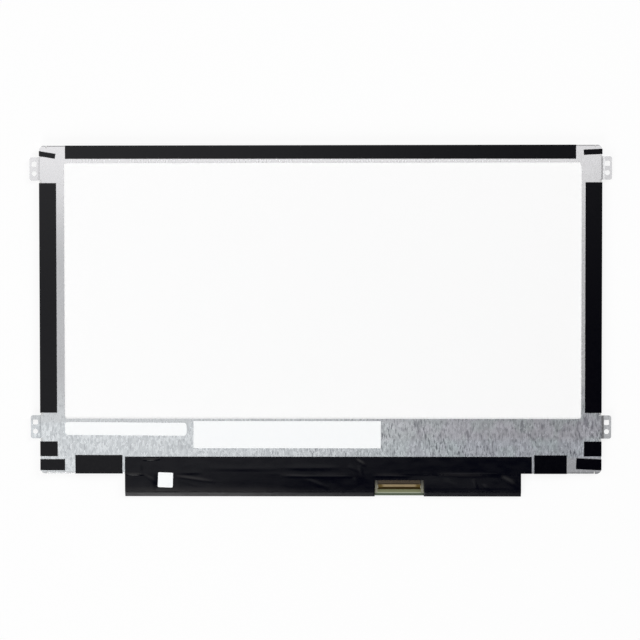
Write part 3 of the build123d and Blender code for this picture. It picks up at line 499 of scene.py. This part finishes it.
# Faces everywhere but in the socket's hole and past the film's end, below the tab
mid_x = (columns[:-1] + columns[1:]) / 2
mid_q = (rows[:-1] + rows[1:]) / 2
notch_columns = np.abs(mid_x - socket_x) < NOTCH_HALF
notch_rows = (mid_q > notch_back) & (mid_q < notch_front)
in_notch = notch_columns[None] & notch_rows[:, None]
past_end = (mid_x > film_right)[None] & (mid_q > tab_end)[:, None]
kept = ~(in_notch | past_end)
count = len(columns)
corner = (np.arange(len(rows) - 1)[:, None] * count + np.arange(count - 1)[None])[kept]
quads = np.stack([corner, corner + count, corner + count + 1, corner + 1], axis=1)
used, index = np.unique(quads, return_inverse=True)
film_mesh = bpy.data.meshes.new("wrinkled_film")
film_mesh.from_pydata(points[used].tolist(), [], index.reshape(quads.shape).tolist())
film_mesh.polygons.foreach_set("use_smooth", np.ones(len(film_mesh.polygons), bool))
film_mesh.attributes.new("painted_highlight", "FLOAT", "POINT").data.foreach_set("value", painted_highlight.reshape(-1)[used])
film = bpy.data.objects.new("wrinkled_film", film_mesh)
bpy.context.scene.collection.objects.link(film)
wall = film.modifiers.new("thickness", "SOLIDIFY")
wall.thickness = FILM_T
wall.offset = -1.0

FILM_BLACK, FILM_HIGHLIGHT = (0.0004, 0.0006, 0.003), (0.03, 0.0285, 0.0295)
black_film = finish("black_film", colour=FILM_BLACK, roughness=0.2, specular=0.16)
# Painted highlights: the creases and the hem are lightened in the film's colour
highlight_share = add(black_film, "ShaderNodeAttribute", {}, attribute_name="painted_highlight").outputs["Fac"]
drive(black_film, "Base Color", mixed(black_film, highlight_share, FILM_BLACK, FILM_HIGHLIGHT))
sheen = between(black_film, spots(black_film, across=7 * MM, along=3 * MM), low=0.14, high=0.24)
height = position(black_film)["Y"]
softened = between(black_film, height, low=0.14, high=0.0, start=fold_y + 0.8 * MM, end=fold_y + 5.0 * MM)
sheen = add(black_film, "ShaderNodeMath", {0: sheen, 1: softened}, operation="ADD").outputs[0]
drive(black_film, "Roughness", sheen)
relief(black_film, depth=0.02 * MM, across=9 * MM, along=4 * MM)
film_mesh.materials.append(black_film)
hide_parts("board_film")
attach(film, "root")

# Labels: bare white paper with a pressure-sensitive back, rolled onto the frame's lower band and the film.
# The fibres show only as a very fine tooth.
PAPER_COOL, PAPER_PALE = (0.925, 0.945, 0.952), (0.94, 0.95, 0.955)
paper = finish("label_paper", colour=(0.93, 0.945, 0.95), roughness=0.5, specular=0.3)
drive(paper, "Base Color", mixed(paper, spots(paper, across=5 * MM), PAPER_COOL, PAPER_PALE))
relief(paper, depth=0.003 * MM, across=0.12 * MM)
dress(paper, "narrow_label", "wide_label", "square_sticker")

# Edge tapes: black polyester tape, cut in lengths and folded by hand round the frame's edges.
# The backing has a faint sheen, which painted shade makes weaker towards the right and towards the bottom.
tape = finish("black_tape", colour=(0.0005, 0.0005, 0.002), roughness=0.22, specular=0.2)
ways = position(tape)
# Painted shade on the sheen: weaker towards the right and towards the bottom
gloss = between(tape, ways["X"], low=0.21, high=0.08, start=steel_low.x, end=steel_high.x)
shade_by_height = between(tape, ways["Y"], low=0.85, high=1.16, start=0.0, end=steel_high.y)
drive(tape, "Specular IOR Level", product(tape, gloss, shade_by_height))
uneven(tape, low=0.18, high=0.26, across=1.2 * MM)
relief(tape, depth=0.004 * MM, across=0.3 * MM)
dress(tape, "rim_tape", "top_tape", "left_tape", "right_tape", "upper_left_tape", "upper_right_tape",
      "lower_left_tape", "lower_right_tape", "lowest_left_tape", "lowest_right_tape",
      "bottom_left_tape", "bottom_right_tape")

# Studio: a plain white floor and backdrop in one, which the camera and reflections see as white.
# It still takes the panel's soft shadow.
FLOOR_REACH = 3.0
FLOOR_DROP = 0.05 * MM
GLOW_SHARE = 0.85
floor_mesh = bpy.data.meshes.new("floor")
sides = ((-1, -1), (1, -1), (1, 1), (-1, 1))
floor_corners = [(FLOOR_REACH * across, FLOOR_REACH * along, -FLOOR_DROP) for across, along in sides]
floor_mesh.from_pydata(floor_corners, [], [(0, 1, 2, 3)])
floor = bpy.data.objects.new("floor", floor_mesh)
bpy.context.scene.collection.objects.link(floor)
floor_white = finish("floor_white", colour=(0.90, 0.90, 0.90), roughness=0.8, specular=0.0)
rays = add(floor_white, "ShaderNodeLightPath", {}).outputs
seen = rays["Is Camera Ray"]
for ray in ("Is Glossy Ray", "Is Transmission Ray"):
    seen = add(floor_white, "ShaderNodeMath", {0: seen, 1: rays[ray]}, operation="MAXIMUM").outputs[0]
glowing = product(floor_white, seen, GLOW_SHARE)
glow = add(floor_white, "ShaderNodeEmission", {"Color": (1, 1, 1, 1), "Strength": 1.0}).outputs["Emission"]
lit = floor_white.node_tree.nodes["Principled BSDF"].outputs["BSDF"]
surface = add(floor_white, "ShaderNodeMixShader", {0: glowing, 1: lit, 2: glow}).outputs["Shader"]
floor_white.node_tree.links.new(surface, floor_white.node_tree.nodes["Material Output"].inputs["Surface"])
floor_mesh.materials.append(floor_white)

# Light: one large softbox overhead, turned so that its edge crosses the panel's reflection towards the lower
# right, two fills, which light the white sheets evenly, and a weak card at the left.
scene = bpy.context.scene
scene.view_settings.view_transform = "Standard"
world = bpy.data.worlds.new("studio")
world.use_nodes = True
world.node_tree.nodes["Background"].inputs["Color"].default_value = (1, 1, 1, 1)
world.node_tree.nodes["Background"].inputs["Strength"].default_value = 0.06
scene.world = world


def softbox(name, place, size, power, target=(0.0, 0.0, 0.0), roll=0.0):
    """A rectangular lamp of a given size, at one place, facing another and rolled about its own axis."""
    lamp = bpy.data.lights.new(name, "AREA")
    lamp.shape = "RECTANGLE"
    lamp.size, lamp.size_y = size
    lamp.energy = power
    holder = bpy.data.objects.new(name, lamp)
    facing = (Vector(target) - Vector(place)).to_track_quat("-Z", "Y")
    holder.matrix_world = Matrix.LocRotScale(Vector(place), facing @ Quaternion((0, 0, 1), roll), None)
    scene.collection.objects.link(holder)


SOFTBOX_W, SOFTBOX_L, SOFTBOX_Z = 2.2, 2.6, 1.6
EDGE_OUT = 0.175
EDGE_WAY = Vector((0.6, -0.8, 0.0))
above_panel = EDGE_WAY * (EDGE_OUT - SOFTBOX_W / 2) + Vector((0, 0, SOFTBOX_Z))
softbox("overhead", above_panel, (SOFTBOX_W, SOFTBOX_L), power=20.7,
        target=above_panel - Vector((0, 0, 1)), roll=np.arctan2(EDGE_WAY.y, EDGE_WAY.x))
softbox("fill_front", place=(-0.62, -1.6, 0.8), size=(1.2, 0.9), power=24.0)
softbox("fill_right", place=(1.4, 1.3, 1.3), size=(1.2, 1.2), power=28.0)
softbox("card_left", place=(-1.5, 0.2, 0.65), size=(1.5, 1.0), power=4.5)

# Camera: over the panel's back, 1 m away behind a long lens, and very slightly tilted, as the photograph's
# outline shows.
camera_data = bpy.data.cameras.new("camera")
camera_data.sensor_width = 36.0
camera_data.lens = 117.72
camera = bpy.data.objects.new("camera", camera_data)
camera.location = (18.66 * MM, 31.36 * MM, 1.0)
camera.rotation_euler = np.radians((-1.764, 1.073, -0.052))
scene.collection.objects.link(camera)
scene.camera = camera
